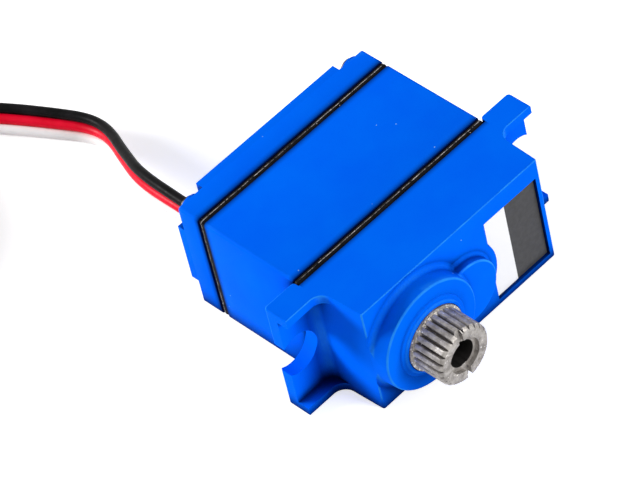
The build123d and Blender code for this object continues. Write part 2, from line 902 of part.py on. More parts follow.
with BuildPart() as armature_windings:
    with BuildSketch(level(core_low - winding_overhang)):
        with Locations(motor_place):
            with PolarLocations(winding_ring, 3, start_angle=60):
                Circle(winding_radius)
    extrude(amount=armature_length + 2 * winding_overhang)
armature_windings.part.label = "armature_windings"
export_step(armature_windings.part, "parts/armature_windings.step")

commutator_low = motor_base + motor_cap_plug + layer_gap
commutator = turned(
    motor_place,
    [(commutator_low, commutator_low + commutator_length, commutator_radius)],
    [(commutator_low, commutator_low + commutator_length, motor_shaft_radius + press_fit)],
)
commutator.part.label = "commutator"
export_step(commutator.part, "parts/commutator.step")

with BuildPart() as motor_brushes:
    with BuildSketch(level(motor_base + motor_cap_plug)):
        for side in (-1, 1):
            brush_offset = commutator_radius + brush_gap + brush_size[0] / 2
            with Locations((motor_x, motor_z + side * brush_offset)):
                Rectangle(brush_size[1], brush_size[0])
    extrude(amount=brush_size[2])
motor_brushes.part.label = "motor_brushes"
export_step(motor_brushes.part, "parts/motor_brushes.step")

with BuildPart() as motor_terminals:
    with BuildSketch(level(board_top)):
        for side in (-1, 1):
            with Locations((motor_x, motor_z + side * terminal_spread)):
                Rectangle(terminal_size[1], terminal_size[0])
    extrude(amount=motor_base - motor_cap_flange - board_top)
motor_terminals.part.label = "motor_terminals"
export_step(motor_terminals.part, "parts/motor_terminals.step")

# ---------------------------------------------------------------- potentiometer

potentiometer_cup = turned(
    output_place,
    [(pot_low, pot_top, pot_radius), (pot_top, pot_top + pot_neck[1], pot_neck[0])],
    [
        (pot_low, pot_top - pot_wall, pot_radius - pot_wall),
        (pot_low, pot_top + pot_neck[1], pivot_radius + running),
    ],
)
potentiometer_cup.part.label = "potentiometer_cup"
export_step(potentiometer_cup.part, "parts/potentiometer_cup.step")

potentiometer_base = turned(output_place, [(pot_low - pot_base, pot_low, pot_radius)])
potentiometer_base.part.label = "potentiometer_base"
export_step(potentiometer_base.part, "parts/potentiometer_base.step")

track_outer = pot_radius - pot_wall - track_inset
wiper_low = pot_low + track_thickness + wiper_lift
resistive_track = turned(
    output_place,
    [(pot_low, wiper_low - wiper_lift, track_outer)],
    [(pot_low, wiper_low - wiper_lift, track_outer - track_width)],
)
resistive_track.part.label = "resistive_track"
export_step(resistive_track.part, "parts/resistive_track.step")

with BuildPart() as potentiometer_wiper:
    with BuildSketch(level(wiper_low)):
        with Locations(output_place):
            Circle(pivot_radius + wiper_hub_wall)
        with Locations((output_x, output_z + wiper_arm[0] / 2)):
            Rectangle(wiper_arm[1], wiper_arm[0])
        with Locations(output_place):
            Circle(pivot_radius + fit, mode=Mode.SUBTRACT)
    extrude(amount=wiper_thickness)
potentiometer_wiper.part.label = "potentiometer_wiper"
export_step(potentiometer_wiper.part, "parts/potentiometer_wiper.step")

potentiometer_shaft = turned(output_place, [(wiper_low - wiper_lift, pivot_top, pivot_radius)])
potentiometer_shaft.part.label = "potentiometer_shaft"
export_step(potentiometer_shaft.part, "parts/potentiometer_shaft.step")

with BuildPart() as potentiometer_pins:
    with BuildSketch(level(board_top)):
        for step in (-1, 0, 1):
            with Locations((output_x + step * pot_pin_pitch, output_z - pot_pin_inset)):
                Rectangle(*pot_pin_size)
    extrude(amount=pot_low - pot_base - board_top)
potentiometer_pins.part.label = "potentiometer_pins"
export_step(potentiometer_pins.part, "parts/potentiometer_pins.step")

# ---------------------------------------------------------------- circuit board

with BuildPart() as circuit_board:
    with BuildSketch(level(board_base)):
        cavity_outline(length / 2 - wall, board_gap)
    extrude(amount=board_thickness)
circuit_board.part.label = "circuit_board"
export_step(circuit_board.part, "parts/circuit_board.step")

with BuildPart() as control_chip:
    with BuildSketch(level(board_top)):
        with Locations((board_centre[0] + chip_offset[0], board_centre[1] + chip_offset[1])):
            Rectangle(chip_size[0], chip_size[1])
    extrude(amount=chip_size[2])
control_chip.part.label = "control_chip"
export_step(control_chip.part, "parts/control_chip.step")

with BuildPart() as board_components:
    with BuildSketch(level(board_top)):
        with Locations(*small_part_places):
            Rectangle(small_part_size[0], small_part_size[1])
    extrude(amount=small_part_size[2])
board_components.part.label = "board_components"
export_step(board_components.part, "parts/board_components.step")

# ---------------------------------------------------------------- lead

with BuildPart() as lead_grommet:
    sleeve = (wire_diameter + 2 * grommet_side - fit, ribbon_width + 2 * grommet_side - fit)
    with BuildSketch(level(0)):
        with Locations((lead_x, lead_z)):
            RectangleRounded(*sleeve, grommet_corner - fit)
    extrude(amount=bottom_floor)
    with BuildSketch(level(0)):
        with Locations((lead_x, lead_z)):
            RectangleRounded(
                sleeve[0] + 2 * grommet_lip[0], sleeve[1] + 2 * grommet_lip[0], grommet_lip_corner
            )
    extrude(amount=-grommet_lip[1])
    with BuildSketch(level(-grommet_lip[1])):
        with Locations((lead_x, lead_z)):
            SlotOverall(ribbon_width + 2 * fit, wire_diameter + 2 * fit, rotation=90)
    extrude(amount=bottom_floor + grommet_lip[1], mode=Mode.SUBTRACT)
lead_grommet.part.label = "lead_grommet"
export_step(lead_grommet.part, "parts/lead_grommet.step")

coil_entry_radius = coil_outer - wire_diameter / 2 - end_play
entry = math.radians(coil_entry)
floor_z = ribbon_width / 2 + lead_lift
coil_start = (
    coil_centre[0] + coil_entry_radius * math.cos(entry),
    coil_centre[1] + coil_entry_radius * math.sin(entry),
    floor_z,
)
lead_points = [
    (lead_x, half_height - board_base, lead_z),
    (lead_x, 18.8, lead_z),
    (-7.2, 24.2, 5.1),
    (-5.7, 28.8, 3.4),
    (-4.2, 33.0, 2.2),
    (-4.2, 37.3, floor_z),
    (-5.6, 41.5, floor_z),
    (-8.1, 46.0, floor_z),
    (-12.0, 51.4, floor_z),
    coil_start,
]


def bend_radii(points):
    """Arc at each inner point, as large as its two runs allow."""
    radii = []
    for before, here, after in zip(points, points[1:], points[2:]):
        into = Vector(*here) - Vector(*before)
        out = Vector(*after) - Vector(*here)
        half_turn = math.radians(into.get_angle(out)) / 2
        radii.append(0.45 * min(into.length, out.length) / math.tan(half_turn))
    return radii


lead_radii = bend_radii(lead_points)
print("lead bend radii", [round(radius, 1) for radius in lead_radii])
with BuildLine() as lead_path:
    FilletPolyline(*lead_points, radius=lead_radii)
with BuildPart() as servo_lead:
    with BuildSketch(level(board_base)) as lead_section:
        with Locations((lead_x, lead_z)):
            SlotOverall(ribbon_width, wire_diameter, rotation=90)
    sweep(sections=lead_section.sketch, path=lead_path.line)
lead_length = sum(edge.length for edge in lead_path.edges())
print("lead length", round(lead_length, 1))
swept_volume = lead_section.sketch.area * lead_length
print("lead volume over its section times its length", servo_lead.part.volume / swept_volume)
servo_lead.part.label = "servo_lead"
export_step(servo_lead.part, "parts/servo_lead.step")

# tail: from the coil's inside, round to the plug's back
tail_start_radius = coil_inner + wire_diameter / 2
tail_start = (
    coil_centre[0] + tail_start_radius * math.cos(entry),
    coil_centre[1] + tail_start_radius * math.sin(entry),
)
with BuildPart() as lead_coil:
    with BuildSketch():
        with Locations(coil_centre):
            Circle(coil_outer)
            Circle(coil_inner, mode=Mode.SUBTRACT)
    extrude(amount=ribbon_width)
    with BuildSketch():
        with BuildLine() as tail_line:
            tail_heading = (-math.sin(entry), math.cos(entry))
            tail = JernArc(tail_start, tail_heading, radius=tail_radius, arc_size=tail_turn)
        trace(tail, line_width=wire_diameter)
    extrude(amount=ribbon_width)
lead_coil.part.label = "lead_coil"
export_step(lead_coil.part, "parts/lead_coil.step")

plug_end = tail @ 1
plug_heading = tail % 1
plug_plane = Plane(origin=(plug_end.X, plug_end.Y, 0), x_dir=plug_heading, z_dir=(0, 0, 1))
contact_places = [(plug_size[0] - contact_size[0] / 2, step * contact_pitch) for step in (-1, 0, 1)]
with BuildPart() as plug_housing:
    with BuildSketch(plug_plane):
        Rectangle(plug_size[0], plug_size[1], align=(Align.MIN, Align.CENTER))
    extrude(amount=plug_size[2])
    with BuildSketch(plug_plane.offset((plug_size[2] - contact_size[1]) / 2 - contact_wall)):
        with Locations(*contact_places):
            Rectangle(contact_size[0], contact_size[1] + 2 * contact_wall)
    extrude(amount=contact_size[1] + 2 * contact_wall, mode=Mode.SUBTRACT)
plug_housing.part.label = "plug_housing"
export_step(plug_housing.part, "parts/plug_housing.step")

with BuildPart() as plug_contacts:
    with BuildSketch(plug_plane.offset((plug_size[2] - contact_size[1]) / 2)):
        with Locations(*contact_places):
            Rectangle(contact_size[0], contact_size[1])
    extrude(amount=contact_size[1])
    with BuildSketch(plug_plane.offset((plug_size[2] - contact_size[1]) / 2 + contact_wall)):
        with Locations(*contact_places):
            Rectangle(contact_size[0], contact_size[1] - 2 * contact_wall)
    extrude(amount=contact_size[1] - 2 * contact_wall, mode=Mode.SUBTRACT)
plug_contacts.part.label = "plug_contacts"
export_step(plug_contacts.part, "parts/plug_contacts.step")
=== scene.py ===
import bpy
import bmesh
import json
import math
import numpy as np
from mathutils import Matrix, Vector


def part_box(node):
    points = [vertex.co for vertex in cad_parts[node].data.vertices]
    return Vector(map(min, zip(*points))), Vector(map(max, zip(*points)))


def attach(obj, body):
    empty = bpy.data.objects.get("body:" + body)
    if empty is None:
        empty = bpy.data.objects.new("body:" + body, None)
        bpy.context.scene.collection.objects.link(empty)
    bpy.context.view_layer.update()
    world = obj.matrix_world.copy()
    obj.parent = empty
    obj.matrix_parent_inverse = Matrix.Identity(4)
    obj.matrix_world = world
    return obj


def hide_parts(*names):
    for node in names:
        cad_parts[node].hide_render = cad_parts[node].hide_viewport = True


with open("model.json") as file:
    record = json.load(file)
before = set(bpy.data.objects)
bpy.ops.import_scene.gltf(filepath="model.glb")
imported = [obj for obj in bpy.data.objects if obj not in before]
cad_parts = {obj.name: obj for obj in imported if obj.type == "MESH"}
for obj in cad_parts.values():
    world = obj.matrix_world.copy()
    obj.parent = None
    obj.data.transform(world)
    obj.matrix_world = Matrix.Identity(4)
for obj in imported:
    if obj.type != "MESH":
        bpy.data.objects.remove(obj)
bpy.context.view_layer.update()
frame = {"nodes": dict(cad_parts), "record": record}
nodes = frame["nodes"]
mm = 0.001
bodyOf = {node: body for body, members in frame["record"]["behaviour"]["bodies"].items() for node in members}
slotOf = {part["node"]: part["material_slot"] for part in frame["record"]["subparts"]}

# the camera
cameraSet = {
    "target": (0.0007, 0.011025, -0.0017),
    "azimuth": -35.055,       # degrees, from the side that the shaft points to
    "elevation": 46.88,
    "roll": -14.183,
    "distance": 0.40256,
    "lens": 261.6,
    "sensor": 36.0,
    "clip": (0.01, 10),       # metres
}


# stands the camera off the target, turned round it, raised above it and rolled about its view
def placeCamera(c):
    a, e = math.radians(c["azimuth"]), math.radians(c["elevation"])
    back = Vector((math.sin(a) * math.cos(e), -math.cos(a) * math.cos(e), math.sin(e)))
    camera = bpy.data.objects.new("camera", bpy.data.cameras.new("camera"))
    bpy.context.scene.collection.objects.link(camera)
    camera.data.lens = c["lens"]
    camera.data.sensor_width = c["sensor"]
    camera.data.clip_start, camera.data.clip_end = c["clip"]
    camera.location = Vector(c["target"]) + back * c["distance"]
    level = (-back).to_track_quat("-Z", "Y").to_matrix()
    camera.rotation_euler = (level @ Matrix.Rotation(math.radians(c["roll"]), 3, "Z")).to_euler()
    bpy.context.scene.camera = camera


placeCamera(cameraSet)
bpy.context.scene.view_settings.view_transform = "Standard"
print("camera placed")


# the same directions with a length of 1
def unit(v):
    return v / np.linalg.norm(v, axis=-1, keepdims=True)


# a mesh piece at the origin from an array of points and rows of corner numbers
def makeMesh(name, vertices, faces, smooth=True):
    mesh = bpy.data.meshes.new(name)
    mesh.from_pydata(vertices.tolist(), [], faces.tolist())
    mesh.polygons.foreach_set("use_smooth", np.full(len(mesh.polygons), smooth))
    mesh.update()
    piece = bpy.data.objects.new(name, mesh)
    bpy.context.scene.collection.objects.link(piece)
    return piece


# corner numbers of a grid's quads: the last column joins the first, and with ring the last row does too
def gridFaces(rows, columns, ring=False, start=0):
    r, c = np.meshgrid(np.arange(rows if ring else rows - 1), np.arange(columns), indexing="ij")
    below = (r + 1) % rows
    n = (c + 1) % columns
    quads = np.stack([r * columns + c, r * columns + n, below * columns + n, below * columns + c], -1)
    return quads.reshape(-1, 4) + start


# closes open ends and turns every face outwards
def closeMesh(piece):
    bm = bmesh.new()
    bm.from_mesh(piece.data)
    bmesh.ops.holes_fill(bm, edges=[e for e in bm.edges if e.is_boundary])
    bmesh.ops.recalc_face_normals(bm, faces=bm.faces)
    bm.to_mesh(piece.data)
    bm.free()


# the lead: three bonded wires from the case to a coil and a plug
leadSet = {
    "wire": 0.95,             # diameter of one wire, mm
    "length": 0.170,
    "coilCentre": (-30.6, 49.2),
    "coilEntry": 27.3,        # degrees round the coil where the lead joins it
    "coilOuter": 17.475,      # radius of the line where it joins, and one turn later
    "coilInner": 16.275,
    "coilPoints": 18,
    "tailRadius": 9.0,
    "tailPoints": 5,
    "tailLift": 1.012,        # the tail's points stand this much out, as its spline cuts inside them
    "floor": 1.525,
    "smooth": 16,             # points along the line for each one of its spline
    "ring": 20,               # points round one wire
    # how far the ribbon leans from standing on edge: (mm along it, degrees)
    "lean": ((0, 0), (6, 4), (9, 13), (15, 8), (19, 5), (22, 10),
             (26, 30), (31, 46), (44, 48), (60, 0), (170, 0)),
    "leanBlend": 31,          # points that each turn of the lean is spread over, an odd number
}

# the route's points in mm, from the circuit board out to the coil
leadRoute = [
    (-7.9, 11.925, 6.0), (-7.9, 17.2, 6.0), (-7.4, 23.4, 5.0), (-5.5, 28.0, 3.3), (-3.7, 32.1, 1.95),
    (-3.7, 34.9, 1.525), (-5.25, 38.0, 1.525), (-6.95, 41.2, 1.525), (-9.0, 44.6, 1.525),
    (-12.0, 51.4, 1.525),
]


# one turn whose radius falls evenly from outer to inner, then a quarter turn into the plug
def coilAndTail(c):
    points = []
    # in mid span the spline takes three quarters from one point and an eighth from each one beside it
    lift = 0.75 + 0.25 * math.cos(2 * math.pi / c["coilPoints"])
    for i in range(c["coilPoints"] + 1):
        share = i / c["coilPoints"]
        angle = math.radians(c["coilEntry"]) + 2 * math.pi * share
        radius = (c["coilOuter"] + (c["coilInner"] - c["coilOuter"]) * share) / lift
        points.append((c["coilCentre"][0] + radius * math.cos(angle),
                       c["coilCentre"][1] + radius * math.sin(angle), c["floor"]))
    angle = math.radians(c["coilEntry"])
    reach = c["coilInner"] - c["tailRadius"]
    middle = (c["coilCentre"][0] + reach * math.cos(angle), c["coilCentre"][1] + reach * math.sin(angle))
    for i in range(1, c["tailPoints"] + 1):
        turn = angle + math.pi / 2 * i / c["tailPoints"]
        radius = c["tailRadius"] * (c["tailLift"] if i < c["tailPoints"] else 1)
        points.append((middle[0] + radius * math.cos(turn), middle[1] + radius * math.sin(turn), c["floor"]))
    return points


# the points along a NURBS spline whose control points are this route, as an array in metres
def smoothLine(points, resolution):
    curve = bpy.data.curves.new("leadLine", "CURVE")
    curve.dimensions = "3D"
    curve.resolution_u = resolution
    spline = curve.splines.new("NURBS")
    spline.points.add(len(points) - 1)
    for point, place in zip(spline.points, points):
        point.co = (place[0] * mm, place[1] * mm, place[2] * mm, 1)
    spline.order_u = 3
    spline.use_endpoint_u = True
    holder = bpy.data.objects.new("leadLine", curve)
    bpy.context.scene.collection.objects.link(holder)
    bpy.context.view_layer.update()
    mesh = bpy.data.meshes.new_from_object(holder)
    line = np.zeros(len(mesh.vertices) * 3)
    mesh.vertices.foreach_get("co", line)
    bpy.data.objects.remove(holder)
    bpy.data.meshes.remove(mesh)
    return line.reshape(-1, 3)


# three round wires side by side: a circle carried along the line, with its centre moved one
# diameter up or down the ribbon's width, whose direction leans from upright by the given angle
def ribbonMesh(line, c):
    along = unit(np.gradient(line, axis=0))
    across = unit(np.cross(along, (0.0, 0.0, 1.0)))
    upward = np.cross(across, along)
    distance = np.concatenate([[0], np.cumsum(np.linalg.norm(np.diff(line, axis=0), axis=1))]) / mm
    stations, angles = zip(*c["lean"])
    lean = np.radians(np.interp(distance, stations, angles))
    soften = np.hanning(c["leanBlend"])
    lean = np.pad(lean, c["leanBlend"] // 2, mode="edge")
    lean = np.convolve(lean, soften / soften.sum(), mode="valid")[:, None]
    stack = np.cos(lean) * upward + np.sin(lean) * across
    side = np.cross(along, stack)
    turn = np.linspace(0, 2 * np.pi, c["ring"], endpoint=False)
    circle = np.cos(turn)[None, :, None] * side[:, None] + np.sin(turn)[None, :, None] * stack[:, None]
    vertices, faces, wires = [], [], []
    for wire, step in enumerate((1, 0, -1)):
        centre = line + stack * step * c["wire"] * mm
        vertices.append((centre[:, None] + circle * c["wire"] / 2 * mm).reshape(-1, 3))
        quads = gridFaces(len(line), c["ring"], start=wire * len(line) * c["ring"])
        faces.append(quads)
        wires.append(np.full(len(quads), wire))
    return makeMesh("servoLead", np.concatenate(vertices), np.concatenate(faces)), np.concatenate(wires)


leadLine = smoothLine(leadRoute + coilAndTail(leadSet), leadSet["smooth"])
servoLead, wireOfFace = ribbonMesh(leadLine, leadSet)
closeMesh(servoLead)
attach(servoLead, "case")
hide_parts("servo_lead", "lead_coil")
print("lead length", round(float(np.linalg.norm(np.diff(leadLine, axis=0), axis=1).sum()), 4))

# seals: a rubber band round the case between each pair of shells
sealSet = {
    "steps": 60,              # points along one long side
    "corner": 0.3,            # the case's corner radius, mm
    "cornerPoints": 7,
    "profile": 28,            # points round the band's section
    "bulge": 0.26,            # how far the section's edge lies behind its crown
    "ridge": 0.03,            # the parting line's height, and its width as a share of the band
    "ridgeShare": 0.09,
    "deep": 0.9,              # from the crown to the back
    "waver": 0.025,
    "waves": ((9, 1), (23, 0), (41, 2)),           # waves round the band, and where each starts
    "still": 0.98,            # past this share of the section its edges don't waver
}


# round a rectangle with round corners runs a section: its depth is minus bulge times one minus the
# root of one minus s squared, with a narrow raised line at s = 0, and its back is flat; slow sine
# waves along the band draw it in by up to twice the waver
def sealBand(name, node, c):
    low, high = (np.array(v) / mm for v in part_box(node))
    halfX, halfZ, middleZ = (high[0] - low[0]) / 2, (high[2] - low[2]) / 2, (high[2] + low[2]) / 2
    r = c["corner"]
    cornerX, cornerZ = halfX - r, halfZ - r
    quarter = np.linspace(0, np.pi / 2, c["cornerPoints"])
    path, out = [], []
    for i, (sx, sz) in enumerate(((1, 1), (-1, 1), (-1, -1), (1, -1))):
        a = quarter + i * np.pi / 2
        normal = np.stack([np.cos(a), np.sin(a)], 1)
        path.append(normal * r + (sx * cornerX, sz * cornerZ))
        out.append(normal)
        nextCorner = ((-cornerX, cornerZ), (-cornerX, -cornerZ), (cornerX, -cornerZ), (cornerX, cornerZ))[i]
        share = np.linspace(0, 1, c["steps"] + 2)[1:-1, None]
        path.append(path[-1][-1] + share * (np.array(nextCorner) - (sx * cornerX, sz * cornerZ)))
        out.append(np.repeat(normal[-1:], c["steps"], 0))
    path, out = np.concatenate(path), np.concatenate(out)
    s = np.sin(np.linspace(-np.pi / 2, np.pi / 2, c["profile"]))
    depth = -c["bulge"] * (1 - np.sqrt(1 - s**2)) - c["ridge"] * (1 - np.exp(-((s / c["ridgeShare"]) ** 2)))
    s = np.concatenate([s, [1, -1]])
    depth = np.concatenate([depth, [-c["deep"], -c["deep"]]])
    walk = np.linspace(0, 2 * np.pi, len(path), endpoint=False)
    waves = sum(np.sin(count * walk + start) for count, start in c["waves"])
    waver = c["waver"] * waves / len(c["waves"]) - c["waver"]
    reach = depth[None, :] + waver[:, None] * (np.abs(s) < c["still"])[None, :]
    place = path[:, None, :] + out[:, None, :] * reach[:, :, None]
    half, mid = (high[1] - low[1]) / 2, (high[1] + low[1]) / 2
    height = np.broadcast_to(mid + s * half, place.shape[:2])
    vertices = np.stack([place[..., 0] + (high[0] + low[0]) / 2, height, place[..., 1] + middleZ], -1)
    band = makeMesh(name, vertices.reshape(-1, 3) * mm, gridFaces(len(path), len(s), ring=True))
    closeMesh(band)
    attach(band, "case")
    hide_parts(node)
    return band


seals = [sealBand("lowerSealBand", "lower_seal", sealSet), sealBand("upperSealBand", "upper_seal", sealSet)]
print("lead and seals made")

# moulded and turned pieces whose corners are eased: piece, node, radius of the easing in mm, where
# a radius of 0 is for a piece that has its rounding already
easedSet = {
    "topShell": ("top_case", 0),
    "middleShell": ("middle_case", 0.12),
    "bottomShell": ("bottom_cover", 0.13),
    "splinedShaft": ("output_shaft", 0.05),
    "lidScrews": ("case_screws", 0.07),
    "leadCollar": ("lead_grommet", 0.16),
    "plugShell": ("plug_housing", 0.22),
}
easing = {
    "merge": 0.0005,          # mm between two points that are one
    "flat": 0.6,              # degrees between two faces that are one
    "sharp": 38,              # degrees past which a corner is sharp
    "segments": 3,
}


# a merged copy of a node, flat faces joined, every sharp corner rounded by an arc of the radius
def easedCopy(name, node, radius, c):
    source = nodes[node]
    bm = bmesh.new()
    bm.from_mesh(source.data)
    bmesh.ops.remove_doubles(bm, verts=bm.verts, dist=c["merge"] * mm)
    bmesh.ops.dissolve_limit(bm, angle_limit=math.radians(c["flat"]), verts=bm.verts, edges=bm.edges)
    sharp = math.radians(c["sharp"])
    if not radius:
        for edge in bm.edges:
            edge.smooth = edge.calc_face_angle(math.pi) < sharp
    mesh = bpy.data.meshes.new(name)
    bm.to_mesh(mesh)
    bm.free()
    piece = bpy.data.objects.new(name, mesh)
    bpy.context.scene.collection.objects.link(piece)
    mesh.polygons.foreach_set("use_smooth", np.full(len(mesh.polygons), True))
    if radius:
        ease = piece.modifiers.new("ease", "BEVEL")
        ease.width = radius * mm
        ease.segments = c["segments"]
        ease.limit_method = "ANGLE"
        ease.angle_limit = sharp
        ease.harden_normals = True
        ease.miter_outer = "MITER_ARC"
    else:
        weigh = piece.modifiers.new("weigh", "WEIGHTED_NORMAL")
        weigh.keep_sharp = True
    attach(piece, bodyOf[node])
    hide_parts(node)
    return piece


eased = {name: easedCopy(name, node, radius, easing) for name, (node, radius) in easedSet.items()}
print("corners eased")


# a material's node tree, with short ways to add a node and to join two
class Nodes:
    def __init__(self, name):
        self.material = bpy.data.materials.new(name)
        self.material.use_nodes = True
        self.tree = self.material.node_tree
        self.shader = self.tree.nodes["Principled BSDF"]
        coordinates = self.add("ShaderNodeTexCoord")
        self.place = coordinates.outputs["Object"]
        self.facing = coordinates.outputs["Normal"]

    def add(self, kind, **values):
        node = self.tree.nodes.new(kind)
        for key, value in values.items():
            if key in node.inputs:
                node.inputs[key].default_value = value
            else:
                setattr(node, key, value)
        return node

    def join(self, output, target):
        self.tree.links.new(output, target)

    def noise(self, scale, detail=3.0, roughness=0.6):
        node = self.add("ShaderNodeTexNoise", Scale=scale, Detail=detail, Roughness=roughness)
        self.join(self.place, node.inputs["Vector"])
        return node.outputs["Fac"]

    # maps low..high of a value onto start..end
    def ramp(self, value, low, high, start=0.0, end=1.0):
        node = self.add("ShaderNodeMapRange")
        self.join(value, node.inputs["Value"])
        for name, number in (("From Min", low), ("From Max", high), ("To Min", start), ("To Max", end)):
            node.inputs[name].default_value = number
        return node.outputs["Result"]

    # colour between first and second; each is a colour or another node's output
    def mix(self, share, first, second):
        node = self.add("ShaderNodeMix", data_type="RGBA")
        if hasattr(share, "is_linked"):
            self.join(share, node.inputs[0])
        else:
            node.inputs[0].default_value = share
        for socket, colour in ((node.inputs[6], first), (node.inputs[7], second)):
            if hasattr(colour, "is_linked"):
                self.join(colour, socket)
            else:
                socket.default_value = (*colour, 1)
        return node.outputs[2]

    def math(self, operation, first, second):
        node = self.add("ShaderNodeMath", operation=operation)
        for socket, value in zip(node.inputs, (first, second)):
            if hasattr(value, "is_linked"):
                self.join(value, socket)
            else:
                socket.default_value = value
        return node.outputs[0]

    # the surface's place along one axis, in metres
    def axis(self, letter):
        node = self.add("ShaderNodeSeparateXYZ")
        self.join(self.place, node.inputs[0])
        return node.outputs[letter]

    # 1 where the surface faces along the shaft, either way, and 0 where it faces across it
    def along(self):
        node = self.add("ShaderNodeSeparateXYZ")
        self.join(self.facing, node.inputs[0])
        return self.math("ABSOLUTE", node.outputs["Y"], 0.0)

    # distance from a line along Y through (x, z), in metres
    def radius(self, x, z):
        away = self.add("ShaderNodeVectorMath", operation="SUBTRACT")
        self.join(self.place, away.inputs[0])
        away.inputs[1].default_value = (x, 0, z)
        flat = self.add("ShaderNodeVectorMath", operation="MULTIPLY")
        self.join(away.outputs[0], flat.inputs[0])
        flat.inputs[1].default_value = (1, 0, 1)
        length = self.add("ShaderNodeVectorMath", operation="LENGTH")
        self.join(flat.outputs[0], length.inputs[0])
        return length.outputs["Value"]

    # distance along the shaft's direction from the middle of the nearer seal, in metres
    def fromSeals(self):
        away = []
        for node in ("lower_seal", "upper_seal"):
            low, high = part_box(node)
            offset = self.math("SUBTRACT", self.axis("Y"), (low[1] + high[1]) / 2)
            away.append(self.math("ABSOLUTE", offset, 0.0))
        return self.math("MINIMUM", *away)

    # share of the space around a point that is open within reach, low in inner corners
    def openness(self, reach, samples=12):
        node = self.add("ShaderNodeAmbientOcclusion", Distance=reach, samples=samples)
        return node.outputs["AO"]

    # 1 inside small scattered dots, which one cell in every few has, fading out past a dot's core
    def specks(self, scale, size, rarity, core=0.6):
        node = self.add("ShaderNodeTexVoronoi", Scale=scale)
        self.join(self.place, node.inputs["Vector"])
        pick = self.add("ShaderNodeSeparateColor")
        self.join(node.outputs["Color"], pick.inputs[0])
        chosen = self.math("GREATER_THAN", pick.outputs[0], rarity)
        near = self.ramp(node.outputs["Distance"], size, size * core)
        return self.math("MULTIPLY", chosen, near)

    def bump(self, height, strength, distance):
        node = self.add("ShaderNodeBump", Strength=strength, Distance=distance)
        self.join(height, node.inputs["Height"])
        self.join(node.outputs["Normal"], self.shader.inputs["Normal"])

    def colour(self, output):
        self.join(output, self.shader.inputs["Base Color"])

    def roughness(self, output):
        self.join(output, self.shader.inputs["Roughness"])


# the middle stretch of a noise's values, for patches and for a fine grain
cloudSpan, grainSpan = (0.35, 0.65), (0.3, 0.7)

# painted light and shade on a shell: lengths in mm, and pairs that run from none of it to the most
shellLightAndShade = {
    # the first colour is a painted highlight on outer corners, the second a painted shade beside the seals
    # and in inner corners
    "paleTone": (0.04, 0.4, 1.0), "shadeColour": (0.0, 0.008, 0.08),
    "tilt": (0.12, 0.45), "level": (0.97, 0.8),    # how far an outer corner faces along the shaft
    "clear": (0.88, 0.98),                         # how open an outer corner is
    "highlightBreakScale": 700, "highlightBreaks": (0.25, 0.75),
    "sealReach": (1.05, 0.4), "sealFall": 1.7, "sealShade": 0.85,
    "sideFade": 0.04,                              # the painted shade beside the seals ends this far past the case's side
    "nookReach": 3.6, "nook": (0.84, 0.36), "nookShade": 0.96,
    "tightReach": 1.5, "tight": (0.84, 0.5), "tightShade": 0.88,
}


# a shell with painted light and shade: a painted highlight along its outer corners, and painted shade beside
# the seals and in inner corners
def paintedLightAndShade(n, colour, c):
    room = n.openness(c["nookReach"] * mm)
    tight = n.openness(c["tightReach"] * mm)
    # painted highlight along the outer corners that face part way along the shaft, broken up by noise
    corner = n.math("MULTIPLY", n.ramp(n.along(), *c["tilt"]), n.ramp(n.along(), *c["level"]))
    corner = n.math("MULTIPLY", corner, n.ramp(tight, *c["clear"]))
    highlightBreakup = n.ramp(n.noise(c["highlightBreakScale"], detail=4.0), *grainSpan, *c["highlightBreaks"])
    colour = n.mix(n.math("MULTIPLY", corner, highlightBreakup), colour, c["paleTone"])
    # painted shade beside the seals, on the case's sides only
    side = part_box("middle_case")[1][0]
    onCase = n.ramp(n.math("ABSOLUTE", n.axis("X"), 0.0), side + c["sideFade"] * mm, side)
    far, near = c["sealReach"]
    sealShadeMask = n.math("POWER", n.ramp(n.fromSeals(), far * mm, near * mm), c["sealFall"])
    sealShadeMask = n.math("MULTIPLY", n.math("MULTIPLY", sealShadeMask, onCase), c["sealShade"])
    colour = n.mix(sealShadeMask, colour, c["shadeColour"])
    # painted shade in inner corners, from occlusion at two reaches
    colour = n.mix(n.ramp(room, *c["nook"], 0.0, c["nookShade"]), colour, c["shadeColour"])
    return n.mix(n.ramp(tight, *c["tight"], 0.0, c["tightShade"]), colour, c["shadeColour"])


# a finish with a cloudy colour, an uneven roughness and a fine bump, all from noise
def plainFinish(name, c):
    n = Nodes(name)
    n.shader.inputs["Metallic"].default_value = c.get("metal", 0.0)
    n.shader.inputs["Specular IOR Level"].default_value = c.get("gloss", 0.5)
    colour = n.mix(n.ramp(n.noise(c["cloudScale"]), *cloudSpan), c["colour"], c["cloud"])
    if "dust" in c:
        colour = n.mix(n.specks(*c["dust"]), colour, c["dustColour"])
    # shells also get a painted highlight on outer corners and painted shade beside the seals and in inner
    # corners
    if c.get("paintedLightAndShade"):
        colour = paintedLightAndShade(n, colour, shellLightAndShade)
    n.colour(colour)
    grain = n.noise(c["grainScale"], detail=2.0)
    n.roughness(n.ramp(grain, *grainSpan, *c["rough"]))
    n.bump(grain, c["bump"], c["depth"] * mm)
    return n.material


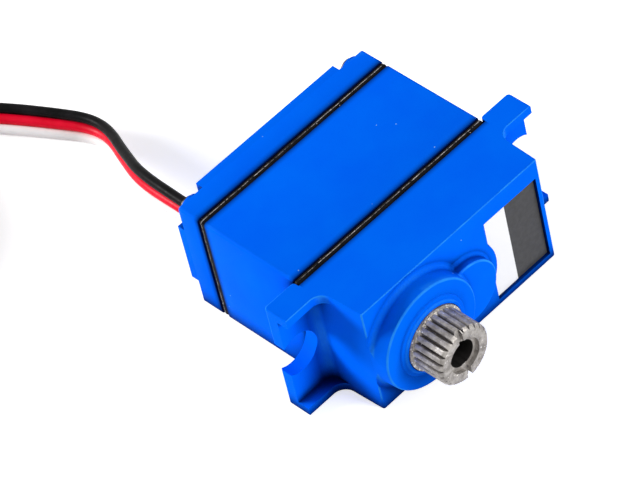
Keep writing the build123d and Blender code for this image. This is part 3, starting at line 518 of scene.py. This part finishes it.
finishes = {
    "blueShell": {"colour": (0.0, 0.132, 0.98), "cloud": (0.0, 0.15, 1.0), "cloudScale": 160,
                  "grainScale": 7000, "rough": (0.42, 0.55), "bump": 0.3, "depth": 0.02, "gloss": 0.004,
                  "dust": (900, 0.065, 0.85), "dustColour": (0.25, 0.55, 1.0), "paintedLightAndShade": True},
    "blackRubber": {"colour": (0.003, 0.003, 0.004), "cloud": (0.008, 0.007, 0.008), "cloudScale": 900,
                    "grainScale": 5000, "rough": (0.3, 0.5), "bump": 0.4, "depth": 0.04, "gloss": 0.16,
                    "dust": (2600, 0.16, 0.94), "dustColour": (0.3, 0.27, 0.27)},
    "darkSteel": {"colour": (0.03, 0.03, 0.032), "cloud": (0.055, 0.05, 0.05), "cloudScale": 1500,
                  "grainScale": 7000, "rough": (0.3, 0.5), "metal": 0.9, "bump": 0.2, "depth": 0.02},
    "bronze": {"colour": (0.42, 0.26, 0.12), "cloud": (0.3, 0.19, 0.09), "cloudScale": 1200,
               "grainScale": 8000, "rough": (0.35, 0.55), "metal": 1.0, "bump": 0.25, "depth": 0.02},
    "brightSteel": {"colour": (0.56, 0.56, 0.58), "cloud": (0.42, 0.42, 0.44), "cloudScale": 700,
                    "grainScale": 9000, "rough": (0.2, 0.36), "metal": 1.0, "bump": 0.12, "depth": 0.01},
    "gearBrass": {"colour": (0.72, 0.5, 0.2), "cloud": (0.55, 0.36, 0.13), "cloudScale": 900,
                  "grainScale": 8000, "rough": (0.22, 0.4), "metal": 1.0, "bump": 0.15, "depth": 0.01},
    "gearSteel": {"colour": (0.38, 0.38, 0.4), "cloud": (0.25, 0.25, 0.27), "cloudScale": 900,
                  "grainScale": 8000, "rough": (0.25, 0.45), "metal": 1.0, "bump": 0.15, "depth": 0.01},
    "whitePlastic": {"colour": (0.78, 0.78, 0.74), "cloud": (0.7, 0.7, 0.66), "cloudScale": 500,
                     "grainScale": 6000, "rough": (0.4, 0.55), "bump": 0.15, "depth": 0.01},
    "ferrite": {"colour": (0.06, 0.06, 0.065), "cloud": (0.1, 0.1, 0.1), "cloudScale": 2200,
                "grainScale": 9000, "rough": (0.5, 0.75), "metal": 0.3, "bump": 0.5, "depth": 0.03},
    "lamination": {"colour": (0.25, 0.25, 0.26), "cloud": (0.15, 0.15, 0.17), "cloudScale": 1500,
                   "grainScale": 9000, "rough": (0.35, 0.55), "metal": 0.9, "bump": 0.3, "depth": 0.02},
    "copper": {"colour": (0.78, 0.33, 0.14), "cloud": (0.6, 0.22, 0.08), "cloudScale": 1200,
               "grainScale": 8000, "rough": (0.22, 0.4), "metal": 1.0, "bump": 0.2, "depth": 0.01},
    "blackPlastic": {"colour": (0.014, 0.014, 0.015), "cloud": (0.024, 0.024, 0.026), "cloudScale": 600,
                     "grainScale": 7000, "rough": (0.4, 0.55), "bump": 0.2, "depth": 0.01, "gloss": 0.12},
    "carbonFilm": {"colour": (0.015, 0.015, 0.016), "cloud": (0.03, 0.028, 0.026), "cloudScale": 1800,
                   "grainScale": 9000, "rough": (0.25, 0.4), "bump": 0.1, "depth": 0.01},
    "boardGreen": {"colour": (0.02, 0.2, 0.08), "cloud": (0.015, 0.14, 0.055), "cloudScale": 700,
                   "grainScale": 6000, "rough": (0.25, 0.4), "bump": 0.15, "depth": 0.01},
    "ceramic": {"colour": (0.45, 0.33, 0.2), "cloud": (0.35, 0.25, 0.15), "cloudScale": 1500,
                "grainScale": 8000, "rough": (0.4, 0.6), "bump": 0.2, "depth": 0.01},
    "goldPlate": {"colour": (0.85, 0.58, 0.2), "cloud": (0.72, 0.46, 0.14), "cloudScale": 1500,
                  "grainScale": 8000, "rough": (0.18, 0.32), "metal": 1.0, "bump": 0.1, "depth": 0.01},
}
finish = {name: plainFinish(name, values) for name, values in finishes.items()}

# the pale line along each band's crown is a painted highlight, broken in places
sealLine = {
    "half": 0.012, "fade": 0.03,                   # mm
    "pale": (0.8, 0.75, 0.74), "black": (0.003, 0.003, 0.004), "grey": (0.012, 0.011, 0.012),
    "cloudScale": 900,
    "breakScale": 3200, "breaks": (0.4, 0.62),
    "stretchScale": 230, "stretches": (0.38, 0.56, 0.03, 1.0),
    "lint": (2600, 0.16, 0.94), "lintShare": 0.7,
    "grainScale": 5000, "rough": (0.3, 0.5), "bump": 0.4, "depth": 0.04, "gloss": 0.05,
}


# rubber with lint on it, and a painted highlight along the thin parting line at the middle of each band,
# broken in places
def sealFinish(c):
    n = Nodes("sealRubber")
    n.shader.inputs["Specular IOR Level"].default_value = c["gloss"]
    # painted highlight along the crown's parting line
    line = n.ramp(n.fromSeals(), (c["half"] + c["fade"]) * mm, c["half"] * mm)
    broken = n.ramp(n.noise(c["breakScale"], detail=4.0, roughness=0.75), *c["breaks"])
    broken = n.math("MULTIPLY", broken, n.ramp(n.noise(c["stretchScale"]), *c["stretches"]))
    body = n.mix(n.ramp(n.noise(c["cloudScale"]), *cloudSpan), c["black"], c["grey"])
    lint = n.math("MULTIPLY", n.specks(*c["lint"]), c["lintShare"])
    highlightAndLint = n.math("MAXIMUM", n.math("MULTIPLY", line, broken), lint)
    n.colour(n.mix(highlightAndLint, body, c["pale"]))
    grain = n.noise(c["grainScale"], detail=2.0)
    n.roughness(n.ramp(grain, *grainSpan, *c["rough"]))
    n.bump(grain, c["bump"], c["depth"] * mm)
    return n.material


finish["sealRubber"] = sealFinish(sealLine)

# colours of the shaft's metal, and where each lies: radii and lengths in mm
shaftSet = {
    "groove": (0.1, 0.09, 0.084), "body": (0.23, 0.211, 0.197), "paleTone": (0.44, 0.415, 0.39),
    "boreShade": (0.03, 0.028, 0.027), "fleck": (0.85, 0.82, 0.79),
    "teeth": (2.6, 2.8),                           # radii of the root and the crest
    "inner": (2.5, 2.4), "endFace": (0.4, 0.7),    # what lies inside the teeth or faces along the shaft
    "bore": 1.32, "boreFade": 0.02, "boreRim": 0.08,
    "foot": 3.23,                                  # from the tip to the teeth's foot
    "fleckReach": (0.7, 0.1), "footFleckBoost": 0.07,
    "fleckScale": 3300, "flecks": (0.645, 0.675),
    "patchScale": 1300, "patches": (0.4, 0.62), "patchHeight": 1.5,
    "grainScale": 8000, "rough": (0.34, 0.6), "bump": 0.6, "depth": 0.035, "metal": 0.75,
}


# sintered metal: dark in the grooves, worn paler on the crests, with bright flecks that gather by the teeth's
# foot, and painted shade inside the bore
def shaftFinish(c):
    low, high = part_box("output_shaft")
    n = Nodes("shaftMetal")
    n.shader.inputs["Metallic"].default_value = c["metal"]
    radius = n.radius((low[0] + high[0]) / 2, (low[2] + high[2]) / 2)
    patch = n.noise(c["patchScale"], detail=5.0, roughness=0.7)
    body = n.mix(n.ramp(patch, *c["patches"]), c["body"], c["paleTone"])
    root, crest = c["teeth"]
    sides = n.mix(n.ramp(radius, root * mm, crest * mm), c["groove"], body)
    outer, within = c["inner"]
    inner = n.math("MAXIMUM", n.ramp(radius, outer * mm, within * mm), n.ramp(n.along(), *c["endFace"]))
    wall = (c["bore"] + c["boreFade"]) * mm
    # inside the bore the metal is painted near black as shade
    whole = n.mix(n.ramp(radius, wall, c["bore"] * mm), n.mix(inner, sides, body), c["boreShade"])
    fromFoot = n.math("ABSOLUTE", n.math("SUBTRACT", n.axis("Y"), low[1] + c["foot"] * mm), 0.0)
    far, near = c["fleckReach"]
    nearFoot = n.ramp(fromFoot, far * mm, near * mm, 0.0, c["footFleckBoost"])
    spots = n.noise(c["fleckScale"], detail=4.0, roughness=0.72)
    fleck = n.ramp(n.math("ADD", spots, nearFoot), *c["flecks"])
    fleck = n.math("MULTIPLY", fleck, n.ramp(radius, wall, (c["bore"] + c["boreRim"]) * mm))
    n.colour(n.mix(fleck, whole, c["fleck"]))
    grain = n.noise(c["grainScale"], detail=3.0)
    n.roughness(n.ramp(grain, *grainSpan, *c["rough"]))
    n.bump(n.math("ADD", n.math("MULTIPLY", patch, c["patchHeight"]), grain), c["bump"], c["depth"] * mm)
    return n.material


finish["shaftMetal"] = shaftFinish(shaftSet)

labelSet = {
    "edge": 6.36,                                  # where the pale band meets the dark one, mm along the case
    "pale": (0.93, 0.93, 0.94), "dark": (0.055, 0.055, 0.058),
    "mottleScale": 2600, "mottle": (0.82, 1.1),    # shares of the dark colour
    "peelScale": 1500, "rough": (0.28, 0.42), "bump": 0.15, "depth": 0.02, "gloss": 0.15,
}


# bare printed film: a pale band and a dark band that meet at one line, with a faint orange-peel gloss
def labelFinish(c):
    n = Nodes("labelFilm")
    n.shader.inputs["Specular IOR Level"].default_value = c["gloss"]
    band = n.math("GREATER_THAN", n.axis("X"), c["edge"] * mm)
    mottle = n.ramp(n.noise(c["mottleScale"]), *grainSpan, *c["mottle"])
    dark = n.add("ShaderNodeVectorMath", operation="SCALE")
    dark.inputs[0].default_value = c["dark"]
    n.join(mottle, dark.inputs["Scale"])
    n.colour(n.mix(band, c["pale"], dark.outputs[0]))
    peel = n.noise(c["peelScale"], detail=2.0)
    n.roughness(n.ramp(peel, *grainSpan, *c["rough"]))
    n.bump(peel, c["bump"], c["depth"] * mm)
    return n.material


finish["labelFilm"] = labelFinish(labelSet)

slotFinish = {
    "blue_plastic": "blueShell", "black_rubber": "blackRubber", "label_print": "labelFilm",
    "screw_steel": "darkSteel", "bronze": "bronze", "bright_steel": "brightSteel",
    "shaft_metal": "shaftMetal", "gear_brass": "gearBrass", "gear_steel": "gearSteel",
    "white_plastic": "whitePlastic", "magnet": "ferrite", "core_steel": "lamination", "copper": "copper",
    "black_plastic": "blackPlastic", "carbon_track": "carbonFilm", "green_board": "boardGreen",
    "ceramic": "ceramic", "gold_plate": "goldPlate", "lead_black": "blackRubber",
}
for node, slot in slotOf.items():
    nodes[node].data.materials.clear()
    nodes[node].data.materials.append(finish[slotFinish[slot]])
for name, (node, radius) in easedSet.items():
    eased[name].data.materials.clear()
    eased[name].data.materials.append(finish[slotFinish[slotOf[node]]])
for band in seals:
    band.data.materials.append(finish["sealRubber"])

wireSet = {
    "wireBlack": {"colour": (0.005, 0.005, 0.005), "cloud": (0.012, 0.011, 0.012), "cloudScale": 700,
                  "grainScale": 4000, "rough": (0.32, 0.5), "bump": 0.25, "depth": 0.03, "gloss": 0.04,
                  "dust": (1500, 0.1, 0.9), "dustColour": (0.22, 0.2, 0.2)},
    "wireRed": {"colour": (0.74, 0.0, 0.018), "cloud": (0.86, 0.003, 0.03), "cloudScale": 500,
                "grainScale": 5000, "rough": (0.35, 0.5), "bump": 0.15, "depth": 0.02, "gloss": 0.12},
    "wireWhite": {"colour": (0.9, 0.88, 0.87), "cloud": (0.95, 0.93, 0.92), "cloudScale": 500,
                  "grainScale": 5000, "rough": (0.35, 0.5), "bump": 0.15, "depth": 0.02, "gloss": 0.3},
}
for name, values in wireSet.items():
    servoLead.data.materials.append(plainFinish(name, values))
ends = len(servoLead.data.polygons) - len(wireOfFace)
servoLead.data.polygons.foreach_set("material_index", np.concatenate([wireOfFace, np.zeros(ends, int)]))
print("materials on")

studioSet = {
    "ambient": 0.25,          # the world's strength for light that falls on things
    "floorHalf": 3,           # metres
    "floorColour": 0.9,
    "floorRough": 0.9,
    "floorGlow": 0.64,
    "lamps": {                                     # place, size and power
        "frontLamp": ((0.35, -0.88, 0.4), 0.45, 7.9),
        "endLamp": ((-0.55, 0.75, 0.35), 0.4, 11.0),
    },
}


# a wide pale floor, a surround that looks white to the eye, to gloss and through glass, and large soft lamps
def studio(c):
    corners = np.array([(-1, -1, 0), (1, -1, 0), (1, 1, 0), (-1, 1, 0)], float)
    floor = makeMesh("floor", corners * c["floorHalf"], np.array([(0, 1, 2, 3)]), False)
    n = Nodes("floorPaper")
    n.shader.inputs["Roughness"].default_value = c["floorRough"]
    n.shader.inputs["Specular IOR Level"].default_value = 0.0
    n.shader.inputs["Base Color"].default_value = (*[c["floorColour"]] * 3, 1)
    n.shader.inputs["Emission Color"].default_value = (1, 1, 1, 1)
    rays = n.add("ShaderNodeLightPath")
    seen = n.math("MAXIMUM", rays.outputs["Is Camera Ray"], rays.outputs["Is Glossy Ray"])
    n.join(n.ramp(seen, 0, 1, 0, c["floorGlow"]), n.shader.inputs["Emission Strength"])
    floor.data.materials.append(n.material)
    world = bpy.data.worlds.new("studio")
    bpy.context.scene.world = world
    world.use_nodes = True
    tree = world.node_tree
    rays = tree.nodes.new("ShaderNodeLightPath")
    seen = rays.outputs["Is Camera Ray"]
    for other in ("Is Glossy Ray", "Is Transmission Ray"):
        either = tree.nodes.new("ShaderNodeMath")
        either.operation = "MAXIMUM"
        tree.links.new(seen, either.inputs[0])
        tree.links.new(rays.outputs[other], either.inputs[1])
        seen = either.outputs[0]
    level = tree.nodes.new("ShaderNodeMapRange")
    level.inputs["To Min"].default_value = c["ambient"]
    tree.links.new(seen, level.inputs["Value"])
    tree.nodes["Background"].inputs["Color"].default_value = (1, 1, 1, 1)
    tree.links.new(level.outputs["Result"], tree.nodes["Background"].inputs["Strength"])
    for name, (place, size, power) in c["lamps"].items():
        lamp = bpy.data.objects.new(name, bpy.data.lights.new(name, "AREA"))
        lamp.data.shape = "DISK"
        lamp.data.size = size
        lamp.data.energy = power
        lamp.location = place
        lamp.rotation_euler = (-Vector(place)).to_track_quat("-Z", "Y").to_euler()
        bpy.context.scene.collection.objects.link(lamp)


studio(studioSet)
print("floor and lamps placed")
